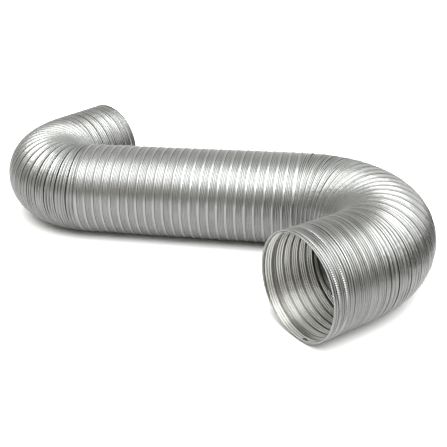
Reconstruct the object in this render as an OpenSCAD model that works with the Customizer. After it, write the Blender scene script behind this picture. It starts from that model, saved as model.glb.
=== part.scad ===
// Semi-rigid flexible air duct, lying in an S on its side.
// One metal strip is wound into a tube and each turn is locked to the next by a folded seam.
// A lock seam is stiff and keeps its round shape, so every modelled seam is a rigid hoop.
// The corrugated web between two hoops is what bends and draws out, so it is a piece of its own.
// The middle run lies along X. Both ends are built outwards from its centre, the rear one
// turned half a turn about Z. The origin is at floor level under the middle of the whole duct.

/* [Tube] */
// Clear bore through the lock seams, nominal 4 inch
bore_d = 101.6; // [90:0.2:125]
// Radial thickness of a folded lock seam
seam_depth = 2.5; // [2.4:0.1:4]
// Radial thickness taken up by the fine corrugations of a web
web_depth = 1.5; // [1:0.1:1.6]
// Width of one lock seam along the tube
seam_w = 3.4; // [2.4:0.1:4]
// Width of the hemmed lip at each mouth
lip_w = 1.6; // [1:0.1:3]

/* [Middle run] */
// Length of the straight middle run
run_len = 254; // [200:1:320]
// Webs in each half of the middle run
run_webs = 3; // [2:1:3]
// Turns of strip in one web of the middle run
run_turns = 4; // [3:1:5]

/* [Front end] */
// Radius of the front bend, measured to the tube's centreline
front_bend_r = 96; // [85:1:120]
// Angle that the front bend turns through
front_bend_angle = 134; // [100:1:140]
// Webs in the front bend
front_bend_webs = 10; // [6:1:10]
// Length of the straight front arm, out to the mouth
front_arm_len = 62; // [60:1:120]
// Webs in the front arm
front_arm_webs = 2; // [1:1:3]
// Length of the stiff front mouth
front_cuff_len = 26; // [20:1:30]

/* [Rear end] */
// Radius of the rear bend, measured to the tube's centreline
rear_bend_r = 83; // [80:1:110]
// Angle that the rear bend turns through
rear_bend_angle = 115; // [100:1:140]
// Webs in the rear bend
rear_bend_webs = 9; // [6:1:9]
// Length of the straight rear arm, out to the mouth
rear_arm_len = 69; // [60:1:120]
// Webs in the rear arm
rear_arm_webs = 2; // [1:1:3]
// Length of the stiff rear mouth
rear_cuff_len = 20; // [18:1:24]

/* [Hidden] */
$fn = 96;
FRONT = 0;
REAR = 1;
SIDES = [FRONT, REAR];
SIDE_NAME = ["front_", "rear_"];
bend_r = [front_bend_r, rear_bend_r];
bend_angle = [front_bend_angle, rear_bend_angle];
bend_webs = [front_bend_webs, rear_bend_webs];
arm_len = [front_arm_len, rear_arm_len];
arm_webs = [front_arm_webs, rear_arm_webs];
cuff_len = [front_cuff_len, rear_cuff_len];

// A web stands this far outside the bore, so that only seams and mouths narrow it
web_relief = 0.6;
// Radii: the bore, the outside of a seam, and a web's inside, outside and middle
bore_r = bore_d / 2;
seam_r = bore_r + seam_depth;
web_in_r = bore_r + web_relief;
web_out_r = web_in_r + web_depth;
web_mid_r = web_in_r + web_depth / 2;
// A seam inside a web stays this much inside the hoops, so the duct rests on its hoops
ridge_drop = 0.1;
ridge_r = seam_r - ridge_drop;
// Every web stops this far short of the next hoop outwards
joint_gap = 0.3;
joint_gap_angle = 0.25;
bend_turns = 2;
arm_turns = 2;

// Web lengths that fill each stretch exactly
run_web_len = (run_len / 2 - seam_w / 2) / run_webs - seam_w;
function arm_web_len(side) = (arm_len[side] - cuff_len[side]) / arm_webs[side] - seam_w;
function hoop_angle(side) = seam_w / bend_r[side] * 180 / PI;
function bend_web_angle(side) =
    (bend_angle[side] + hoop_angle(side)) / bend_webs[side] - hoop_angle(side);

// The whole duct's box, from its two bends and its two mouths, to set the origin at its middle
function reach_x(side) = run_len / 2 + bend_r[side] + seam_r;
function reach_y(side) =
    bend_r[side] - bend_r[side] * cos(bend_angle[side])
    + arm_len[side] * sin(bend_angle[side]) + seam_r * abs(cos(bend_angle[side]));
origin_x = (reach_x(FRONT) - reach_x(REAR)) / 2;
origin_y = (reach_y(REAR) - reach_y(FRONT)) / 2;

// Running totals of a list of widths, starting from 0
function edges(widths, i = 0, total = 0) =
    i == len(widths) ? [total] : concat([total], edges(widths, i + 1, total + widths[i]));

// Half section of a sleeve whose outside steps from one radius to the next
function sleeve_outline(widths, radii, inner) =
    let (z = edges(widths), last = len(widths) - 1)
    concat(
        [[inner, 0]],
        [for (i = [0:last]) each [[radii[i], z[i]], [radii[i], z[i + 1]]]],
        [[inner, z[last + 1]]]
    );

// Widths and radii of a web: bands of corrugation with a seam between each pair of turns
function web_widths(length, turns, ridge) =
    let (band = (length - (turns - 1) * ridge) / turns)
    [for (i = [0:2 * turns - 2]) i % 2 == 0 ? band : ridge];
function web_radii(turns) = [for (i = [0:2 * turns - 2]) i % 2 == 0 ? web_out_r : ridge_r];

// Places: the half of the duct, a point on its middle run, its bend's axis, a point on its arm
module on_side(side) {
    translate([-origin_x, -origin_y, seam_r]) rotate([0, 0, side == REAR ? 180 : 0]) children();
}
module at_bend(side) {
    translate([run_len / 2, -bend_r[side], 0]) children();
}
module on_arm(side, along) {
    at_bend(side) rotate([0, 0, -bend_angle[side]]) translate([along, bend_r[side], 0]) children();
}

// A straight stepped sleeve, starting at the place and running outwards along X
module sleeve(widths, radii, inner) {
    rotate([0, 90, 0]) rotate_extrude() polygon(sleeve_outline(widths, radii, inner));
}

// A slice of curved tube, from one angle to another, counted outwards from the middle run
module bend_slice(side, from_angle, to_angle, outer, inner) {
    at_bend(side)
        rotate_extrude(start = 90 - to_angle, angle = to_angle - from_angle)
            translate([bend_r[side], 0]) difference() {
                circle(r = outer);
                circle(r = inner);
            }
}

// Lock seam of the strip at the centre of the middle run
module middle_hoop() {
    color("silver") on_side(FRONT) translate([-seam_w / 2, 0, 0]) sleeve([seam_w], [seam_r], bore_r);
}

// Lock seams of the middle run
module run_hoop(side, i) {
    color("silver") on_side(side)
        translate([i * (run_web_len + seam_w) - seam_w / 2, 0, 0]) sleeve([seam_w], [seam_r], bore_r);
}

// Corrugated webs of the middle run
module run_web(side, i) {
    widths = web_widths(run_web_len - joint_gap, run_turns, seam_w);
    color("gainsboro") on_side(side)
        translate([(i - 1) * (run_web_len + seam_w) + seam_w / 2, 0, 0])
            sleeve(widths, web_radii(run_turns), web_in_r);
}

// Lock seams of a bend; the last one is where the straight arm begins
module bend_hoop(side, i) {
    start = i * bend_web_angle(side) + (i - 1) * hoop_angle(side);
    color("silver") on_side(side) {
        if (i < bend_webs[side]) {
            bend_slice(side, start, start + hoop_angle(side), seam_r, bore_r);
        } else {
            on_arm(side, 0) sleeve([seam_w], [seam_r], bore_r);
        }
    }
}

// Corrugated webs of a bend, narrow on the inside of the curve and wide on the outside
module bend_web(side, i) {
    start = (i - 1) * (bend_web_angle(side) + hoop_angle(side));
    length = bend_web_angle(side) - joint_gap_angle;
    edge = edges(web_widths(length, bend_turns, hoop_angle(side)));
    color("gainsboro") on_side(side) {
        bend_slice(side, start, start + length, web_out_r, web_in_r);
        for (k = [1:2:2 * bend_turns - 3])
            bend_slice(side, start + edge[k], start + edge[k + 1], ridge_r, web_mid_r);
    }
}

// Lock seams of an arm
module arm_hoop(side, i) {
    color("silver") on_side(side)
        on_arm(side, i * (arm_web_len(side) + seam_w)) sleeve([seam_w], [seam_r], bore_r);
}

// Corrugated webs of an arm
module arm_web(side, i) {
    widths = web_widths(arm_web_len(side) - joint_gap, arm_turns, seam_w);
    color("gainsboro") on_side(side)
        on_arm(side, (i - 1) * (arm_web_len(side) + seam_w) + seam_w)
            sleeve(widths, web_radii(arm_turns), web_in_r);
}

// Stiff mouth: the last two turns and the hemmed lip, a round bore that slips over a collar
module mouth_cuff(side) {
    band = (cuff_len[side] - 2 * seam_w - lip_w) / 2;
    widths = [seam_w, band, seam_w, band, lip_w];
    radii = [seam_r, web_out_r, seam_r, web_out_r, seam_r];
    color("lightgray") on_side(side)
        on_arm(side, arm_len[side] - cuff_len[side]) sleeve(widths, radii, bore_r);
}

function names(stem, count) = [for (i = [1:count]) str(stem, i)];
function side_nodes(side) = concat(
    names(str(SIDE_NAME[side], "run_hoop_"), run_webs),
    names(str(SIDE_NAME[side], "run_web_"), run_webs),
    names(str(SIDE_NAME[side], "bend_hoop_"), bend_webs[side]),
    names(str(SIDE_NAME[side], "bend_web_"), bend_webs[side]),
    arm_webs[side] > 1 ? names(str(SIDE_NAME[side], "arm_hoop_"), arm_webs[side] - 1) : [],
    names(str(SIDE_NAME[side], "arm_web_"), arm_webs[side]),
    [str(SIDE_NAME[side], "mouth_cuff")]
);

middle_hoop();
for (side = SIDES) {
    for (i = [1:run_webs]) {
        run_hoop(side, i);
        run_web(side, i);
    }
    for (i = [1:bend_webs[side]]) {
        bend_hoop(side, i);
        bend_web(side, i);
    }
    for (i = [1:arm_webs[side]]) {
        if (i < arm_webs[side])
            arm_hoop(side, i);
        arm_web(side, i);
    }
    mouth_cuff(side);
}
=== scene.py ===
import math
import random

import bpy
from mathutils import Matrix, Vector


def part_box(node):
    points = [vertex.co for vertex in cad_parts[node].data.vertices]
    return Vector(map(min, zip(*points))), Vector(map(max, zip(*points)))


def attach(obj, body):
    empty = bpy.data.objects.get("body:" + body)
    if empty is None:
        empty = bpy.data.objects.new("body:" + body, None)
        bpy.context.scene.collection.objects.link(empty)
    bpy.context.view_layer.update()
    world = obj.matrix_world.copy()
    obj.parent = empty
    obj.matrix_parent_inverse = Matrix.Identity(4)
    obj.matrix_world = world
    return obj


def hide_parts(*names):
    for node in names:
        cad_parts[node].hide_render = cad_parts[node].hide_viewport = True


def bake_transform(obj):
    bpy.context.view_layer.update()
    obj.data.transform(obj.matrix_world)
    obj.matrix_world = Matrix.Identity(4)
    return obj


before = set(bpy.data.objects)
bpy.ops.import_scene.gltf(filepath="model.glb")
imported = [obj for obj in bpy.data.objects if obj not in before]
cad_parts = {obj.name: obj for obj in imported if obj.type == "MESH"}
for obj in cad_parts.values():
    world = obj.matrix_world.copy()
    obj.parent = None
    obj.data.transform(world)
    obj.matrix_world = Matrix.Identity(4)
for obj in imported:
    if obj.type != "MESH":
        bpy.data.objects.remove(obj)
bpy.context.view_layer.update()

# ---------------------------------------------------------------- the corrugated strip
# The duct is one strip of soft aluminium foil, rolled into fine ridges and wound into a tube
# that lies in an S. The turns between two stiff hoops make one sleeve, whose ridges open and
# close as the duct is bent or drawn out. A sleeve runs from the middle of a hoop to the next.

# The middle of the straight run, half its length, and the width of a hoop along the tube
MIDDLE = sum(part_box("middle_hoop"), Vector()) / 2
RUN_HALF = 0.127
HOOP_WIDTH = 0.0034
# Each end's heading away from the middle, its bend, its straight arm, and its stiff mouth
ENDS = {
    "front": {
        "heading": 0.0, "bend_radius": 0.096, "bend_angle": math.radians(134),
        "arm": 0.062, "cuff": 0.026,
    },
    "rear": {
        "heading": math.pi, "bend_radius": 0.083, "bend_angle": math.radians(115),
        "arm": 0.069, "cuff": 0.020,
    },
}
# Turns of strip in one sleeve, and the flat stripe of each turn that lies under its seam
TURNS = {"run": 4, "bend": 2, "arm": 2}
FLAT_WIDTH = {"run": 0.0030, "bend": 0.0020, "arm": 0.0020}
# Ridges in one turn, fewer than the real strip has, so that they show
RIDGES = {"run": 4.0, "bend": 3.0, "arm": 3.0}
RIDGE_DEPTH = {"run": 0.0005, "bend": 0.0012, "arm": 0.0011}
RIDGE_CREST = 0.05275
# Real foil is about 0.1 mm thick; it is drawn thicker, to keep its two faces well apart
FOIL = 0.00025
# The slot between two folded edges, as seen from inside, and the deepest dent from handling
SLOT_DEPTH = 0.0007
DENT = 0.0004
# A real seam climbs along the tube as it winds. The closed turns here lean by this much instead,
# so that they slope as a wound seam does on the side that faces the camera.
LEAN = 0.0026
# How strong the painted shade in the grooves is: faint in the plain run, strong where the duct has been
# bent
SHADE = {"run": 0.25, "bend": 1.0, "arm": 0.9}
FIRST_BEND_SHADE = 0.7
# In a bend, a sleeve was to flex over this length; the reach worked out from it is not used
BEND_FLEX = 0.018
# Rows of the mesh along one turn, those on either half of its flat stripe, and its sides
ROWS_PER_TURN = 40
FLAT_ROWS = 4
SLEEVE_SIDES = 96


def towards(heading):
    return Vector((math.cos(heading), math.sin(heading), 0))


def line_at(end, distance):
    """Point and heading on the duct's centreline, at a distance outwards from the middle hoop."""
    curved = min(max(distance - RUN_HALF, 0), end["bend_radius"] * end["bend_angle"])
    beyond = max(distance - RUN_HALF, 0) - curved
    turned = curved / end["bend_radius"]
    chord = 2 * end["bend_radius"] * math.sin(turned / 2)
    point = MIDDLE + towards(end["heading"]) * min(distance, RUN_HALF)
    point = point + towards(end["heading"] - turned / 2) * chord
    return point + towards(end["heading"] - turned) * beyond, end["heading"] - turned


def stretches(side):
    """One end's sleeves from the middle outwards, each with its two bodies and its CAD nodes."""
    end = ENDS[side]
    bend_end = RUN_HALF + end["bend_radius"] * end["bend_angle"] + HOOP_WIDTH / 2
    stops = {
        "run": RUN_HALF - HOOP_WIDTH / 2, "bend": bend_end, "arm": bend_end + end["arm"] - end["cuff"],
    }
    found = []
    body = "middle"
    reached = 0.0
    for kind, stop in stops.items():
        count = sum(name.startswith(f"{side}_{kind}_web_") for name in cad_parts)
        step = (stop - reached) / count
        for i in range(1, count + 1):
            last = kind == "arm" and i == count
            outer = f"{side}_mouth" if last else f"{side}_{kind}_{i}"
            hoop = f"{side}_mouth_cuff" if last else f"{side}_{kind}_hoop_{i}"
            found.append({
                "kind": kind, "name": f"{side}_{kind}_{i}", "inner": body, "outer": outer,
                "web": f"{side}_{kind}_web_{i}", "hoop": hoop, "first_of_kind": i == 1,
                "start": reached + (i - 1) * step, "length": step,
            })
            body = outer
        reached = stop
    return found


def add_node(tree, kind, inputs=(), **settings):
    """Adds a node. An input is a value, a socket, or a node that stands for its first output."""
    node = tree.nodes.new(kind)
    for name, value in settings.items():
        setattr(node, name, value)
    for key, value in inputs.items() if isinstance(inputs, dict) else enumerate(inputs):
        if isinstance(value, bpy.types.Node):
            value = value.outputs[0]
        if isinstance(value, bpy.types.NodeSocket):
            tree.links.new(value, node.inputs[key])
        else:
            node.inputs[key].default_value = value
    return node


MATH = "ShaderNodeMath"


def shape_tree(name, inputs):
    """A Geometry Nodes tree with named inputs, and the sockets that hold them."""
    tree = bpy.data.node_groups.new(name, "GeometryNodeTree")
    tree.interface.new_socket(name="Geometry", in_out="OUTPUT", socket_type="NodeSocketGeometry")
    for label, kind in inputs.items():
        tree.interface.new_socket(name=label, in_out="INPUT", socket_type=f"NodeSocket{kind}")
    return tree, add_node(tree, "NodeGroupInput").outputs


def finish_tree(tree, surface, uv, position, material, turn_over=False, **marks):
    """Stores the pattern's UVs and marks, moves the grid into place, welds it and finishes it."""
    kept = add_node(
        tree, "GeometryNodeStoreNamedAttribute", {"Geometry": surface, "Name": "UVMap", "Value": uv},
        data_type="FLOAT2", domain="CORNER",
    )
    for name, value in marks.items():
        kept = add_node(
            tree, "GeometryNodeStoreNamedAttribute", {"Geometry": kept, "Name": name, "Value": value},
            data_type="FLOAT", domain="POINT",
        )
    placed = add_node(tree, "GeometryNodeSetPosition", {"Geometry": kept, "Position": position})
    # The grid's edges meet to within a few thousandths of a millimetre
    welded = add_node(tree, "GeometryNodeMergeByDistance", {"Geometry": placed, "Distance": 3e-6})
    if turn_over:
        welded = add_node(tree, "GeometryNodeFlipFaces", {"Mesh": welded})
    smooth = add_node(tree, "GeometryNodeSetShadeSmooth", {"Geometry": welded})
    real = add_node(tree, "GeometryNodeRealizeInstances", {"Geometry": smooth})
    done = add_node(tree, "GeometryNodeSetMaterial", {"Geometry": real, "Material": material})
    add_node(tree, "NodeGroupOutput", {"Geometry": done})


def grow(name, tree, sizes):
    """Runs a tree with its inputs set, and keeps the result as a plain mesh."""
    obj = bpy.data.objects.new(name, bpy.data.meshes.new(name))
    bpy.context.scene.collection.objects.link(obj)
    shape = obj.modifiers.new("shape", "NODES")
    shape.node_group = tree
    for item in tree.interface.items_tree:
        if item.in_out == "INPUT":
            shape[item.identifier] = sizes[item.name]
    seen = obj.evaluated_get(bpy.context.evaluated_depsgraph_get())
    plain = bpy.data.meshes.new_from_object(seen)
    obj.modifiers.remove(shape)
    obj.data = plain
    return obj


def turn_rows(tree, given):
    """A grid whose columns run out along the outside of a tube and come back along its inside.

    With it come each point's row, whether it is on the inside, and its share of the way round."""
    last = add_node(tree, MATH, [given["Rows"], 2.0, 2.0], operation="MULTIPLY_ADD")
    columns = add_node(tree, MATH, [last, 1.0], operation="ADD")
    around = add_node(tree, MATH, [given["Sides"], 1.0], operation="ADD")
    grid = add_node(tree, "GeometryNodeMeshGrid", {
        "Size X": 1.0, "Size Y": 1.0, "Vertices X": columns, "Vertices Y": around,
    })
    flat = add_node(tree, "ShaderNodeSeparateXYZ", [add_node(tree, "GeometryNodeInputPosition")])
    column = add_node(tree, "ShaderNodeMapRange", [flat.outputs["X"], -0.5, 0.5, 0.0, last], clamp=False)
    column = add_node(tree, MATH, [column], operation="ROUND")
    back = add_node(tree, MATH, [last, 1.0], operation="SUBTRACT")
    back = add_node(tree, MATH, [back, column], operation="SUBTRACT")
    row = add_node(tree, MATH, [column, back], operation="MINIMUM")
    row = add_node(tree, MATH, [row, 0.0], operation="MAXIMUM")
    row = add_node(tree, MATH, [row, given["Rows"]], operation="MINIMUM")
    # The inside is the columns within half a length of the middle of the way back
    half = add_node(tree, MATH, [given["Rows"], 0.5, 0.5], operation="MULTIPLY_ADD")
    middle = add_node(tree, MATH, [given["Rows"], 1.5, 1.0], operation="MULTIPLY_ADD")
    inside = add_node(tree, MATH, [column, middle, half], operation="COMPARE")
    share = add_node(tree, MATH, [flat.outputs["Y"], 0.5], operation="ADD")
    return grid, row, inside, share


def place_in_turns(tree, given, row, spread):
    """Where a row lies, in turns. Each turn is half a seam, the ridged band and half a seam.

    With it come the share of the band that is passed, and how near a seam's middle is."""
    counted = add_node(tree, MATH, [row, given["Rows Per Turn"]], operation="DIVIDE")
    turn = add_node(tree, MATH, [counted], operation="FLOOR")
    within = add_node(tree, MATH, [counted], operation="FRACT")
    edge = add_node(tree, MATH, [FLAT_ROWS, given["Rows Per Turn"]], operation="DIVIDE")
    far_edge = add_node(tree, MATH, [1.0, edge], operation="SUBTRACT")
    seam_in = add_node(tree, "ShaderNodeMapRange", [within, 0.0, edge, 0.0, 1.0])
    band = add_node(tree, "ShaderNodeMapRange", [within, edge, far_edge, 0.0, 1.0])
    seam_out = add_node(tree, "ShaderNodeMapRange", [within, far_edge, 1.0, 0.0, 1.0])
    flats = add_node(tree, MATH, [seam_in, seam_out], operation="ADD")
    flats = add_node(tree, MATH, [band, -2.0, flats], operation="MULTIPLY_ADD")
    seam = add_node(tree, MATH, [given["Seam Width"], given["Turn Length"]], operation="DIVIDE")
    seam = add_node(tree, MATH, [seam, spread], operation="DIVIDE")
    seam = add_node(tree, MATH, [seam, 0.5], operation="MULTIPLY")
    part = add_node(tree, MATH, [seam, flats, band], operation="MULTIPLY_ADD")
    part = add_node(tree, MATH, [part, turn], operation="ADD")
    near_seam = add_node(tree, MATH, [seam_out, seam_in], operation="SUBTRACT")
    near_seam = add_node(tree, MATH, [near_seam, 1.0], operation="ADD")
    return part, band, near_seam


def centreline(tree, given, along):
    """The point and the bearing at a distance along a straight, an arc to the right, a straight."""
    before = add_node(tree, MATH, [along, given["Straight Before"]], operation="MINIMUM")
    curved = add_node(tree, MATH, [along, given["Straight Before"]], operation="SUBTRACT")
    curved = add_node(tree, MATH, [curved, 0.0], operation="MAXIMUM")
    arc = add_node(tree, MATH, [curved, given["Arc Length"]], operation="MINIMUM")
    after = add_node(tree, MATH, [curved, arc], operation="SUBTRACT")
    turned = add_node(tree, MATH, [arc, given["Curvature"]], operation="MULTIPLY")
    # A tiny turn is added, so that a straight sleeve doesn't divide by nothing
    half_turned = add_node(tree, MATH, [turned, 0.5, 1e-7], operation="MULTIPLY_ADD")
    chord = add_node(tree, MATH, [half_turned], operation="SINE")
    chord = add_node(tree, MATH, [chord, half_turned], operation="DIVIDE")
    chord = add_node(tree, MATH, [chord, arc], operation="MULTIPLY")
    bearing = add_node(tree, MATH, [given["Heading"], turned], operation="SUBTRACT")
    chord_bearing = add_node(tree, MATH, [given["Heading"], half_turned], operation="SUBTRACT")
    centre = given["Start"]
    for distance, heading in ((before, given["Heading"]), (chord, chord_bearing), (after, bearing)):
        leg = add_node(tree, "ShaderNodeCombineXYZ", {"X": distance})
        leg = add_node(tree, "ShaderNodeVectorRotate", {"Vector": leg, "Angle": heading},
                       rotation_type="Z_AXIS")
        centre = add_node(tree, "ShaderNodeVectorMath", [centre, leg], operation="ADD")
    return centre, bearing


def groove_shade(tree, given, angle, along, spread, band, wave):
    """Painted shade that gathers in the grooves: most beside the seams, and uneven from ridge to ridge."""
    far_side = add_node(tree, MATH, [1.0, band], operation="SUBTRACT")
    nearest = add_node(tree, MATH, [band, far_side], operation="MINIMUM")
    beside = add_node(tree, "ShaderNodeMapRange", [nearest, 0.0, 0.10, 1.0, 0.0])
    # One change of shade is about 3 mm along the tube and three quarters of a radian around it
    lane = add_node(tree, MATH, [along, 330.0], operation="MULTIPLY")
    winding = add_node(tree, MATH, [angle, 1.3], operation="MULTIPLY")
    track = add_node(tree, "ShaderNodeCombineXYZ", {"X": lane, "Y": winding, "Z": given["Heading"]})
    uneven = add_node(tree, "ShaderNodeTexNoise", {"Vector": track, "Scale": 1.0, "Detail": 1.0})
    uneven = add_node(tree, "ShaderNodeMapRange", [uneven, 0.38, 0.62, 0.2, 1.0])
    groove = add_node(tree, MATH, [wave, uneven], operation="MULTIPLY")
    shade = add_node(tree, MATH, [groove, beside], operation="MAXIMUM")
    shade = add_node(tree, MATH, [shade, given["Shade"]], operation="MULTIPLY")
    # Crowded ridges hide their grooves from each other and get less painted shade
    shown = add_node(tree, "ShaderNodeMapRange", [spread, 0.4, 1.0, 0.65, 1.0])
    return add_node(tree, MATH, [shade, shown], operation="MULTIPLY")


def dented_tube(tree, centre, heading, level, rise, radius, dent):
    """The points at a radius from the centreline, pushed in here and there by handling."""
    radial = add_node(tree, "ShaderNodeCombineXYZ", {"Y": level, "Z": rise})
    radial = add_node(tree, "ShaderNodeVectorRotate", {"Vector": radial, "Angle": heading},
                      rotation_type="Z_AXIS")
    # One pattern dents the strip and its seams together. It is worked out from the way outwards
    # times the place, so the dents are larger in the run and smaller in the bends.
    pattern = add_node(tree, "ShaderNodeVectorMath", [radial, centre, centre], operation="MULTIPLY_ADD")
    dents = add_node(tree, "ShaderNodeTexNoise", {"Vector": pattern, "Scale": 26.0, "Detail": 2.0})
    pushed = add_node(tree, MATH, [dents, dent], operation="MULTIPLY")
    radius = add_node(tree, MATH, [radius, pushed], operation="SUBTRACT")
    out = add_node(tree, "ShaderNodeVectorMath", {0: radial, "Scale": radius}, operation="SCALE")
    return add_node(tree, "ShaderNodeVectorMath", [centre, out], operation="ADD")


def sleeve_tree():
    """A thin closed tube of wound strip, with ridges between its seams."""
    tree, given = shape_tree("corrugated sleeve", {
        "Start": "Vector", "Heading": "Float", "Straight Before": "Float", "Arc Length": "Float",
        "Curvature": "Float", "Cut At": "Float", "Turn Length": "Float", "Seam Width": "Float",
        "Spiral": "Float", "Start Angle": "Float", "Crest Radius": "Float", "Ridge Depth": "Float",
        "Ridges": "Float", "Foil": "Float", "Slot Depth": "Float", "Dent": "Float",
        "Lean Start": "Float", "Lean End": "Float", "Lean Over": "Float", "Shade": "Float",
        "Rows": "Int", "Rows Per Turn": "Int", "Sides": "Int", "Material": "Material",
    })
    grid, row, inside, share = turn_rows(tree, given)
    angle = add_node(tree, MATH, [share, math.tau, given["Start Angle"]], operation="MULTIPLY_ADD")
    level = add_node(tree, MATH, [angle], operation="COSINE")
    rise = add_node(tree, MATH, [angle], operation="SINE")
    # On a bend the turns spread on the outside and crowd together on the inside
    spread = add_node(tree, MATH, [given["Curvature"], given["Crest Radius"]], operation="MULTIPLY")
    spread = add_node(tree, MATH, [spread, level, 1.0], operation="MULTIPLY_ADD")
    part, band, near_seam = place_in_turns(tree, given, row, spread)
    # A spiral sleeve keeps its first turn square and lets the later ones run out to the rim
    lag = add_node(tree, "ShaderNodeMapRange", [part, 1.0, 2.0, 0.0, given["Spiral"]])
    unwound = add_node(tree, MATH, [1.0, share], operation="SUBTRACT")
    lag = add_node(tree, MATH, [lag, unwound], operation="MULTIPLY")
    part = add_node(tree, MATH, [part, lag], operation="SUBTRACT")
    lean = add_node(tree, "ShaderNodeMapRange", [
        part, 0.0, given["Lean Over"], given["Lean Start"], given["Lean End"],
    ])
    lean = add_node(tree, MATH, [lean, rise], operation="MULTIPLY")
    along = add_node(tree, MATH, [part, given["Turn Length"], lean], operation="MULTIPLY_ADD")
    # Past the cut at a mouth, the rows lie on the cut edge, plain and unshaded
    kept = add_node(tree, MATH, [along, given["Cut At"]], operation="LESS_THAN")
    along = add_node(tree, MATH, [along, given["Cut At"]], operation="MINIMUM")
    centre, bearing = centreline(tree, given, along)
    # The ridges are pressed shallow where the turns crowd together
    slack = add_node(tree, MATH, [spread, 2.0], operation="POWER")
    slack = add_node(tree, MATH, [slack, 1.1], operation="MINIMUM")
    depth = add_node(tree, MATH, [given["Ridge Depth"], slack], operation="MULTIPLY")
    depth = add_node(tree, MATH, [depth, kept], operation="MULTIPLY")
    # A ridge is a wave with a broad crest and a narrower groove
    phase = add_node(tree, MATH, [given["Ridges"], math.tau], operation="MULTIPLY")
    phase = add_node(tree, MATH, [phase, band], operation="MULTIPLY")
    wave = add_node(tree, MATH, [phase], operation="COSINE")
    wave = add_node(tree, MATH, [wave, 0.5, 0.5], operation="MULTIPLY_ADD")
    wave = add_node(tree, MATH, [wave, 1.6], operation="POWER")
    valley = add_node(tree, MATH, [wave, depth], operation="MULTIPLY")
    radius = add_node(tree, MATH, [given["Crest Radius"], valley], operation="SUBTRACT")
    foil = add_node(tree, MATH, [inside, given["Foil"]], operation="MULTIPLY")
    radius = add_node(tree, MATH, [radius, foil], operation="SUBTRACT")
    # On the inside a narrow slot shows where the two folded edges meet
    slot = add_node(tree, MATH, [near_seam, 9.0], operation="POWER")
    slot = add_node(tree, MATH, [slot, inside], operation="MULTIPLY")
    slot = add_node(tree, MATH, [slot, kept], operation="MULTIPLY")
    radius = add_node(tree, MATH, [slot, given["Slot Depth"], radius], operation="MULTIPLY_ADD")
    position = dented_tube(tree, centre, bearing, level, rise, radius, given["Dent"])
    # The slot gets painted shade too, and the inside shows half the painted shade of the outside
    shade = groove_shade(tree, given, angle, along, spread, band, wave)
    shade = add_node(tree, MATH, [shade, slot], operation="MAXIMUM")
    shade = add_node(tree, MATH, [shade, kept], operation="MULTIPLY")
    fainter = add_node(tree, MATH, [inside, -0.5, 1.0], operation="MULTIPLY_ADD")
    shade = add_node(tree, MATH, [shade, fainter], operation="MULTIPLY")
    # Foil that has been bent and drawn out by hand is crinkled too
    worked = add_node(tree, MATH, [given["Shade"], 2.0], operation="POWER")
    girth = add_node(tree, MATH, [angle, given["Crest Radius"]], operation="MULTIPLY")
    uv = add_node(tree, "ShaderNodeCombineXYZ", {"X": girth, "Y": along})
    finish_tree(tree, grid, uv, position, given["Material"], turn_over=True, shade=shade,
                inside=inside, worked=worked)
    return tree


def linear(colour, alpha=1.0):
    """A colour picked as sRGB hex, turned to the linear values that the shader wants."""
    parts = [int(colour[i:i + 2], 16) / 255 for i in (1, 3, 5)]
    return [c / 12.92 if c <= 0.04045 else ((c + 0.055) / 1.055) ** 2.4 for c in parts] + [alpha]


def new_material(name):
    material = bpy.data.materials.new(name)
    material.use_nodes = True
    return material, material.node_tree, material.node_tree.nodes["Principled BSDF"]


def mill_finish_foil():
    """Mill-finish aluminium foil: a grey metal with a broad soft shine, a little patchy where
    the rolls and hands have touched it, with faint rolling lines that run along the strip."""
    material, tree, shader = new_material("mill-finish aluminium foil")
    uv = add_node(tree, "ShaderNodeUVMap", uv_map="UVMap")
    place = add_node(tree, "ShaderNodeTexCoord")
    # Patches about 20 mm across
    patches = add_node(tree, "ShaderNodeTexNoise", {
        "Vector": place.outputs["Object"], "Scale": 45.0, "Detail": 4.0,
    })
    tint = add_node(tree, "ShaderNodeValToRGB", [patches])
    tint.color_ramp.elements[0].position = 0.3
    tint.color_ramp.elements[0].color = linear("#777876")
    tint.color_ramp.elements[1].position = 0.75
    tint.color_ramp.elements[1].color = linear("#848584")
    # The inside is a much lighter grey: partly the foil's bright side, turned inwards, and partly painted
    # light in the shaded inside of the tube
    inside = add_node(tree, "ShaderNodeAttribute", attribute_name="inside")
    sides = add_node(tree, "ShaderNodeMix", {
        0: inside.outputs["Fac"], 6: tint, 7: linear("#B4B4B0"),
    }, data_type="RGBA")
    # The grooves, the seam edges and the inside slots are darkened to near black with painted shade
    shade = add_node(tree, "ShaderNodeAttribute", attribute_name="shade")
    shaded = add_node(tree, "ShaderNodeMix", {
        0: shade.outputs["Fac"], 6: sides.outputs[2], 7: linear("#1E1E1B"),
    }, data_type="RGBA")
    tree.links.new(shaded.outputs[2], shader.inputs["Base Color"])
    # Rolling lines are about 0.05 mm apart; drawn at 0.4 mm, or they would not show
    stretched = add_node(tree, "ShaderNodeMapping", {"Vector": uv, "Scale": (25.0, 2500.0, 1.0)})
    lines = add_node(tree, "ShaderNodeTexNoise", {"Vector": stretched, "Scale": 1.0, "Detail": 2.0})
    shine = add_node(tree, "ShaderNodeMapRange", [lines, 0.3, 0.7, 0.26, 0.40])
    tree.links.new(shine.outputs["Result"], shader.inputs["Roughness"])
    # Crinkles left by drawing the strip out by hand, about 7 mm across
    crinkles = add_node(tree, "ShaderNodeTexNoise", {
        "Vector": place.outputs["Object"], "Scale": 140.0, "Detail": 3.0,
    })
    worked = add_node(tree, "ShaderNodeAttribute", attribute_name="worked")
    crinkled = add_node(tree, "ShaderNodeBump", {
        "Strength": worked.outputs["Fac"], "Distance": 0.0005, "Height": crinkles,
    })
    bump = add_node(tree, "ShaderNodeBump", {
        "Strength": 0.25, "Distance": 0.00005, "Height": lines, "Normal": crinkled,
    })
    tree.links.new(bump.outputs["Normal"], shader.inputs["Normal"])
    shader.inputs["Metallic"].default_value = 1.0
    return material


SLEEVE = sleeve_tree()
FOIL_FINISH = mill_finish_foil()

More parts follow.
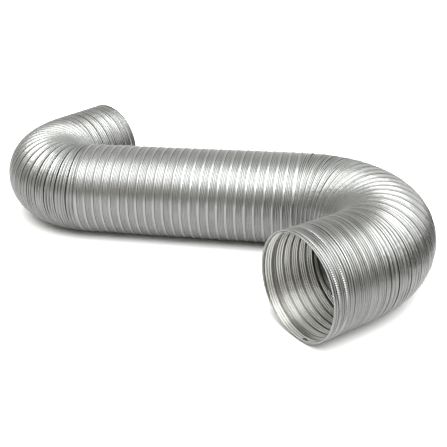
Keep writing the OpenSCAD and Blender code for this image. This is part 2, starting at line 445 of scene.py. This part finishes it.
for side, end in ENDS.items():
    bend_stop = RUN_HALF + end["bend_radius"] * end["bend_angle"]
    for stretch in stretches(side):
        kind = stretch["kind"]
        start = stretch["start"]
        length = stretch["length"]
        curved = max(0.0, min(start + length, bend_stop) - max(start, RUN_HALF))
        point, heading = line_at(end, start)
        far_point, far_heading = line_at(end, start + length)
        # The first sleeve of a bend has been worked less than the rest: fainter crinkles, and less painted
        # shade in its grooves
        first_bend = kind == "bend" and stretch["first_of_kind"]
        foil = grow(f"strip_{stretch['name']}", SLEEVE, {
            "Start": point, "Heading": heading,
            "Straight Before": max(0.0, RUN_HALF - start) if curved else length,
            "Arc Length": curved, "Curvature": 1 / end["bend_radius"] if curved else 0.0,
            "Cut At": 2 * length, "Turn Length": length / TURNS[kind],
            "Seam Width": FLAT_WIDTH[kind], "Spiral": 0.0, "Start Angle": -math.pi / 2,
            "Crest Radius": RIDGE_CREST, "Ridge Depth": RIDGE_DEPTH[kind], "Ridges": RIDGES[kind],
            "Foil": FOIL, "Slot Depth": SLOT_DEPTH, "Dent": DENT,
            "Lean Start": LEAN * math.cos(heading), "Lean End": LEAN * math.cos(far_heading),
            "Lean Over": float(TURNS[kind]),
            "Shade": SHADE[kind] * (FIRST_BEND_SHADE if first_bend else 1.0),
            "Rows": TURNS[kind] * ROWS_PER_TURN, "Rows Per Turn": ROWS_PER_TURN,
            "Sides": SLEEVE_SIDES, "Material": FOIL_FINISH,
        })
        reach = (far_point - point) / 2
        if kind == "bend":
            reach = reach.normalized() * BEND_FLEX / 2
        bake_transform(foil)
        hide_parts(stretch["web"])

# ---------------------------------------------------------------- the lock seams
# Where one turn meets the next, the two edges of the strip are folded over each other and
# rolled flat. Four layers of foil make a stiff round hoop, smoother and brighter than the
# ridged strip. A seam between two sleeves is rigid and rides on a body; one within a sleeve stays where it
# is drawn.
SEAM_OUTER = 0.0531
SEAM_DEPTH = 0.0009
SEAM_FACE = {"run": 0.0032, "bend": 0.0022, "arm": 0.0022}
# A bent seam sinks a little between the ridges that crowd it, and its edges are rounder
SEAM_SINK = 0.00015
BENT_ROUNDNESS = 0.8
# Bending by hand leaves the seams uneven: out of place, out of line, and of unequal width
PLACE_ERROR = 0.0003
LEAN_ERROR = 0.0004
WIDTH_RANGE = (0.85, 1.1)
# The segments around a seam's section
SEAM_SEGMENTS = 20


def seam_tree():
    """A closed ring or a tapered spiral with the section of a flat rolled fold."""
    tree, given = shape_tree("lock seam", {
        "Centre": "Vector", "Heading": "Float", "Outer Radius": "Float", "Width": "Float",
        "Depth": "Float", "Lead": "Float", "Turns": "Float", "Start Angle": "Float",
        "Taper": "Float", "Fold Step": "Float", "Dent": "Float", "Lean": "Float",
        "Teeth": "Float", "Tooth Depth": "Float", "Roundness": "Float", "Sides": "Int",
        "Material": "Material",
    })
    around = add_node(tree, MATH, [given["Sides"], 1.0], operation="ADD")
    grid = add_node(tree, "GeometryNodeMeshGrid", {
        "Size X": 1.0, "Size Y": 1.0, "Vertices X": SEAM_SEGMENTS + 1, "Vertices Y": around,
    })
    flat = add_node(tree, "ShaderNodeSeparateXYZ", [add_node(tree, "GeometryNodeInputPosition")])
    share = add_node(tree, MATH, [flat.outputs["Y"], 0.5], operation="ADD")
    wound = add_node(tree, MATH, [share, given["Turns"]], operation="MULTIPLY")
    angle = add_node(tree, MATH, [wound, math.tau, given["Start Angle"]], operation="MULTIPLY_ADD")
    level = add_node(tree, MATH, [angle], operation="COSINE")
    rise = add_node(tree, MATH, [angle], operation="SINE")
    # The section goes from a rectangle with rounded corners, at 0.4, to an ellipse, at 1
    section = add_node(tree, MATH, [flat.outputs["X"], math.tau], operation="MULTIPLY")
    sides = []
    for wave in ("COSINE", "SINE"):
        value = add_node(tree, MATH, [section], operation=wave)
        sign = add_node(tree, MATH, [value], operation="SIGN")
        size = add_node(tree, MATH, [value], operation="ABSOLUTE")
        size = add_node(tree, MATH, [size, given["Roundness"]], operation="POWER")
        sides.append(add_node(tree, MATH, [sign, size], operation="MULTIPLY"))
    # One edge of the fold lies a foil's thickness lower on the outside
    step = add_node(tree, "ShaderNodeMapRange", [sides[0], 0.45, 0.75, 0.0, given["Fold Step"]])
    upper = add_node(tree, MATH, [sides[1], 0.0], operation="MAXIMUM")
    step = add_node(tree, MATH, [step, upper], operation="MULTIPLY")
    # A spiral's two ends taper away to points
    first = add_node(tree, "ShaderNodeMapRange", [wound, 0.0, 0.03, 0.0, 1.0])
    left = add_node(tree, MATH, [given["Turns"], wound], operation="SUBTRACT")
    final = add_node(tree, "ShaderNodeMapRange", [left, 0.0, 0.03, 0.0, 1.0])
    narrow = add_node(tree, MATH, [first, final], operation="MINIMUM")
    plain = add_node(tree, MATH, [1.0, given["Taper"]], operation="SUBTRACT")
    narrow = add_node(tree, MATH, [narrow, plain], operation="MAXIMUM")
    across = add_node(tree, MATH, [sides[0], given["Width"]], operation="MULTIPLY")
    across = add_node(tree, MATH, [across, narrow], operation="MULTIPLY")
    across = add_node(tree, MATH, [across, 0.5], operation="MULTIPLY")
    across = add_node(tree, MATH, [wound, given["Lead"], across], operation="MULTIPLY_ADD")
    across = add_node(tree, MATH, [rise, given["Lean"], across], operation="MULTIPLY_ADD")
    height = add_node(tree, MATH, [sides[1], 1.0], operation="SUBTRACT")
    height = add_node(tree, MATH, [height, given["Depth"]], operation="MULTIPLY")
    height = add_node(tree, MATH, [height, 0.5, given["Outer Radius"]], operation="MULTIPLY_ADD")
    radius = add_node(tree, MATH, [height, step], operation="SUBTRACT")
    # The roller that closes the fold leaves small teeth across its outside
    tooth = add_node(tree, MATH, [angle, given["Teeth"]], operation="MULTIPLY")
    tooth = add_node(tree, MATH, [tooth], operation="COSINE")
    tooth = add_node(tree, MATH, [tooth, -0.5, 0.5], operation="MULTIPLY_ADD")
    tooth = add_node(tree, MATH, [tooth, upper], operation="MULTIPLY")
    tooth = add_node(tree, MATH, [tooth, given["Tooth Depth"]], operation="MULTIPLY")
    radius = add_node(tree, MATH, [radius, tooth], operation="SUBTRACT")
    core = add_node(tree, MATH, [given["Depth"], -0.5, given["Outer Radius"]], operation="MULTIPLY_ADD")
    radius = add_node(tree, "ShaderNodeMapRange", [narrow, 0.0, 1.0, core, radius])
    forward = add_node(tree, "ShaderNodeCombineXYZ", {"X": across})
    forward = add_node(tree, "ShaderNodeVectorRotate", {"Vector": forward, "Angle": given["Heading"]},
                       rotation_type="Z_AXIS")
    centre = add_node(tree, "ShaderNodeVectorMath", [given["Centre"], forward], operation="ADD")
    position = dented_tube(tree, centre, given["Heading"], level, rise, radius, given["Dent"])
    girth = add_node(tree, MATH, [angle, given["Outer Radius"]], operation="MULTIPLY")
    uv = add_node(tree, "ShaderNodeCombineXYZ", {"X": girth, "Y": across})
    finish_tree(tree, grid, uv, position, given["Material"])
    return tree


def rolled_seam(name, colour, smooth, rough):
    """Four layers of the same foil rolled flat: a plain bright stripe on the straight run, and
    duller where the duct has been bent by hand, with fine scuffs along the hoop."""
    material, tree, shader = new_material(name)
    uv = add_node(tree, "ShaderNodeUVMap", uv_map="UVMap")
    # Scuffs are about 0.1 mm wide; drawn at 0.5 mm, or they would not show
    stretched = add_node(tree, "ShaderNodeMapping", {"Vector": uv, "Scale": (30.0, 2000.0, 1.0)})
    scuffs = add_node(tree, "ShaderNodeTexNoise", {"Vector": stretched, "Scale": 1.0, "Detail": 3.0})
    shine = add_node(tree, "ShaderNodeMapRange", [scuffs, 0.3, 0.7, smooth, rough])
    tree.links.new(shine.outputs["Result"], shader.inputs["Roughness"])
    shader.inputs["Base Color"].default_value = linear(colour)
    shader.inputs["Metallic"].default_value = 1.0
    return material


LOCK_SEAM = seam_tree()
SEAM_FINISH = rolled_seam("rolled aluminium lock seam", "#888988", 0.25, 0.37)
WORKED_FINISH = rolled_seam("hand-bent aluminium lock seam", "#7A7B79", 0.30, 0.44)


def make_seam(name, centre, heading, width, changes):
    """A closed seam as in the straight run, but for the changes to its tree's inputs."""
    seam = grow(name, LOCK_SEAM, {
        "Centre": centre, "Heading": heading, "Outer Radius": SEAM_OUTER, "Width": width,
        "Depth": SEAM_DEPTH, "Lead": 0.0, "Turns": 1.0, "Start Angle": -math.pi / 2, "Taper": 0.0,
        "Fold Step": 0.0002, "Dent": DENT, "Lean": LEAN * math.cos(heading), "Teeth": 0.0,
        "Tooth Depth": 0.0, "Roundness": 0.42, "Sides": 128, "Material": SEAM_FINISH,
    } | changes)
    return seam


middle = make_seam("seam_middle", MIDDLE, 0.0, SEAM_FACE["run"], {})
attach(middle, "middle")
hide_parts("middle_hoop")

chance = random.Random(4)
for side, end in ENDS.items():
    for stretch in stretches(side):
        start = stretch["start"]
        length = stretch["length"]
        turns = TURNS[stretch["kind"]]
        width = SEAM_FACE[stretch["kind"]]
        bent = stretch["kind"] != "run"
        finish = {}
        if bent:
            finish = {
                "Material": WORKED_FINISH, "Outer Radius": SEAM_OUTER - SEAM_SINK,
                "Roundness": BENT_ROUNDNESS,
            }
        for k in range(1, turns):
            point, heading = line_at(end, start + length * k / turns)
            lean = LEAN * math.cos(heading)
            if bent:
                point = point + towards(heading) * chance.uniform(-PLACE_ERROR, PLACE_ERROR)
                lean = lean + chance.uniform(-LEAN_ERROR, LEAN_ERROR)
                width = SEAM_FACE[stretch["kind"]] * chance.uniform(*WIDTH_RANGE)
            between = make_seam(
                f"turn_seam_{stretch['name']}_{k}", point, heading, width, finish | {"Lean": lean},
            )
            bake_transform(between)
            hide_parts(stretch["web"])
        # The hoop at the sleeve's outer end is as wide as the seam before it
        point, heading = line_at(end, start + length)
        hoop = make_seam(f"hoop_{stretch['name']}", point, heading, width, finish)
        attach(hoop, stretch["outer"])
        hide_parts(stretch["hoop"])

# ---------------------------------------------------------------- the two mouths
# Each mouth is the tube cut off square. The last seam runs out to the cut in a spiral, and the
# edge is hemmed so that it doesn't cut hands. The mouth slips over a 4 inch collar.
MOUTH_TURN = 0.0100
HEM_WIDTH = 0.0010
HEM_DEPTH = 0.0012
# The strip stops this far short of the rim, inside the hem
CUT_BACK = 0.0003
# Where the last seam leaves the square turn and starts to run out to the rim
LEAVES_AT = {"front": math.radians(75), "rear": math.radians(200)}
# The spiral lies this much lower than the square seam, so that the two don't share a face
SPIRAL_SINK = 0.00006
# The roller that closes a seam leaves teeth across it, 2 mm apart, which show at the front mouth
KNURL = {"Teeth": 168.0, "Tooth Depth": 0.0005, "Sides": 1008}
# The tucked end of the strip lies just inside the hem
TUCKED_RADIUS = 0.0517

for side, end in ENDS.items():
    body = f"{side}_mouth"
    node = f"{side}_mouth_cuff"
    marks = KNURL if side == "front" else {}
    width = SEAM_FACE["arm"]
    rim_at = RUN_HALF + end["bend_radius"] * end["bend_angle"] + end["arm"]
    start = rim_at - end["cuff"] + HOOP_WIDTH / 2
    length = rim_at - start
    turns = math.ceil(length / MOUTH_TURN + 1)
    point, heading = line_at(end, start)
    cuff = grow(f"mouth_{side}", SLEEVE, {
        "Start": point, "Heading": heading, "Straight Before": length, "Arc Length": 0.0,
        "Curvature": 0.0, "Cut At": length - CUT_BACK, "Turn Length": MOUTH_TURN,
        "Seam Width": FLAT_WIDTH["arm"], "Spiral": 1.0, "Start Angle": LEAVES_AT[side],
        "Crest Radius": RIDGE_CREST, "Ridge Depth": RIDGE_DEPTH["arm"], "Ridges": RIDGES["arm"],
        "Foil": FOIL, "Slot Depth": SLOT_DEPTH, "Dent": DENT,
        "Lean Start": LEAN * math.cos(heading), "Lean End": 0.0, "Lean Over": 1.0,
        "Shade": SHADE["arm"], "Rows": turns * ROWS_PER_TURN, "Rows Per Turn": ROWS_PER_TURN,
        "Sides": SLEEVE_SIDES, "Material": FOIL_FINISH,
    })
    first, _ = line_at(end, start + MOUTH_TURN)
    square = make_seam(f"mouth_seam_{side}", first, heading, width, {"Lean": 0.0} | marks)
    spiral = make_seam(f"mouth_spiral_{side}", first, heading, width, {
        "Outer Radius": SEAM_OUTER - SPIRAL_SINK, "Lead": MOUTH_TURN,
        "Turns": (length - MOUTH_TURN - width / 2 - HEM_WIDTH) / MOUTH_TURN,
        "Start Angle": LEAVES_AT[side], "Taper": 1.0, "Lean": 0.0, "Sides": 192,
    } | marks)
    rim, _ = line_at(end, rim_at - HEM_WIDTH / 2)
    hem = make_seam(f"hem_{side}", rim, heading, HEM_WIDTH, {
        "Depth": HEM_DEPTH, "Fold Step": 0.0, "Lean": 0.0,
    } | marks)
    pieces = [cuff, square, spiral, hem]
    if side == "front":
        # The cut end of the strip lies tucked along the rim, and a corner of it stands up below
        pieces.append(make_seam("strip_end_front", rim, heading, 0.0016, {
            "Outer Radius": TUCKED_RADIUS, "Depth": 0.0007, "Turns": 0.15,
            "Start Angle": math.radians(82), "Taper": 1.0, "Lean": 0.0, "Sides": 48,
        }))
        below, _ = line_at(end, rim_at - 0.0035)
        pieces.append(make_seam("strip_corner_front", below, heading, 0.012, {
            "Outer Radius": TUCKED_RADIUS, "Depth": 0.0006, "Turns": 0.02,
            "Start Angle": math.radians(-84), "Taper": 1.0, "Lean": 0.0, "Sides": 16,
        }))
    for piece in pieces:
        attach(piece, body)
        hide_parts(node)

# ---------------------------------------------------------------- the studio
# A white floor without an edge, a wide soft light overhead and towards the front, and a dim
# room low in front, which the metal shows as a dark band along its side.
SUN_RADIANCE = 8.4
SUN_WIDTH = math.radians(50)
ROOM_RADIANCE = 4.1

bpy.ops.mesh.primitive_plane_add(size=30)
floor = bpy.context.object
floor.name = "studio_floor"
paper, _, paper_shader = new_material("matt white studio paper")
paper_shader.inputs["Base Color"].default_value = linear("#D0D0D0")
paper_shader.inputs["Roughness"].default_value = 0.9
paper_shader.inputs["Specular IOR Level"].default_value = 0.1
floor.data.materials.append(paper)

lamp = bpy.data.lights.new("wide soft light", "SUN")
lamp.angle = SUN_WIDTH
lamp.energy = SUN_RADIANCE * math.pi * math.sin(SUN_WIDTH / 2) ** 2
light = bpy.data.objects.new("wide soft light", lamp)
light.rotation_euler = (math.radians(25), 0, math.radians(20))
bpy.context.scene.collection.objects.link(light)

# A dark card stands to the right, out of the picture, and only shows as a reflection
CARD_X = 0.46
CARD_NEAR = -0.60
CARD_FAR = 0.30
CARD_TOP = 0.15
card_mesh = bpy.data.meshes.new("studio_dark_card")
card_corners = [
    (CARD_X, CARD_NEAR, 0), (CARD_X, CARD_FAR, 0),
    (CARD_X, CARD_FAR, CARD_TOP), (CARD_X, CARD_NEAR, CARD_TOP),
]
card_mesh.from_pydata(card_corners, [], [(0, 1, 2, 3)])
card = bpy.data.objects.new("studio_dark_card", card_mesh)
bpy.context.scene.collection.objects.link(card)
board, _, board_shader = new_material("dull grey card")
board_shader.inputs["Base Color"].default_value = linear("#55534C")
board_shader.inputs["Roughness"].default_value = 0.9
card.data.materials.append(board)
card.visible_camera = False
card.visible_diffuse = False
card.visible_shadow = False

world = bpy.data.worlds.new("studio room")
bpy.context.scene.world = world
world.use_nodes = True
room = world.node_tree
room.nodes.clear()
look = add_node(room, "ShaderNodeSeparateXYZ", [add_node(room, "ShaderNodeTexCoord").outputs["Generated"]])
# The room is brighter to the right
slope = add_node(room, MATH, [look.outputs["X"], 0.30, 0.05], operation="MULTIPLY_ADD")
slope = add_node(room, MATH, [slope, look.outputs["Z"]], operation="ADD")
walls = add_node(room, "ShaderNodeValToRGB", [slope])
LEVELS = [(0.0, "#66635C"), (0.30, "#787469"), (0.55, "#9A9A98"), (0.74, "#FFFFFF"), (0.97, "#E8E8E8")]
for at, _ in LEVELS[1:-1]:
    walls.color_ramp.elements.new(at)
for stop, (at, colour) in zip(walls.color_ramp.elements, LEVELS):
    stop.position = at
    stop.color = linear(colour)
# Behind the duct it is an even grey
behind = add_node(room, MATH, [look.outputs["X"], -0.55, look.outputs["Y"]], operation="MULTIPLY_ADD")
back = add_node(room, "ShaderNodeMapRange", [behind, -0.1, 0.3, 0.0, 1.0])
mixed = add_node(room, "ShaderNodeMix", {0: back, 6: walls, 7: linear("#9A9A98")}, data_type="RGBA")
shown = add_node(room, "ShaderNodeBackground", {"Color": mixed.outputs[2], "Strength": ROOM_RADIANCE})
add_node(room, "ShaderNodeOutputWorld", {"Surface": shown})

# The camera stands in front and a little above, slightly to the right
AZIMUTH = math.radians(14.27)
ELEVATION = math.radians(24.0)
ROLL = math.radians(-2.43)
DISTANCE = 0.8015
TARGET = MIDDLE + Vector((0.0571, -0.0805, 0))
towards_camera = Vector((
    math.sin(AZIMUTH) * math.cos(ELEVATION), -math.cos(AZIMUTH) * math.cos(ELEVATION), math.sin(ELEVATION),
))
right = Vector((math.cos(AZIMUTH), math.sin(AZIMUTH), 0))
up = towards_camera.cross(right)
turned_right = right * math.cos(ROLL) + up * math.sin(ROLL)
turned_up = up * math.cos(ROLL) - right * math.sin(ROLL)
lens = bpy.data.cameras.new("camera")
lens.sensor_width = 36
lens.lens = 60.59
lens.clip_start = 0.01
camera = bpy.data.objects.new("camera", lens)
place = Matrix((turned_right, turned_up, towards_camera)).transposed().to_4x4()
place.translation = TARGET + towards_camera * DISTANCE
camera.matrix_world = place
bpy.context.scene.collection.objects.link(camera)
bpy.context.scene.camera = camera
bpy.context.scene.view_settings.view_transform = "Standard"
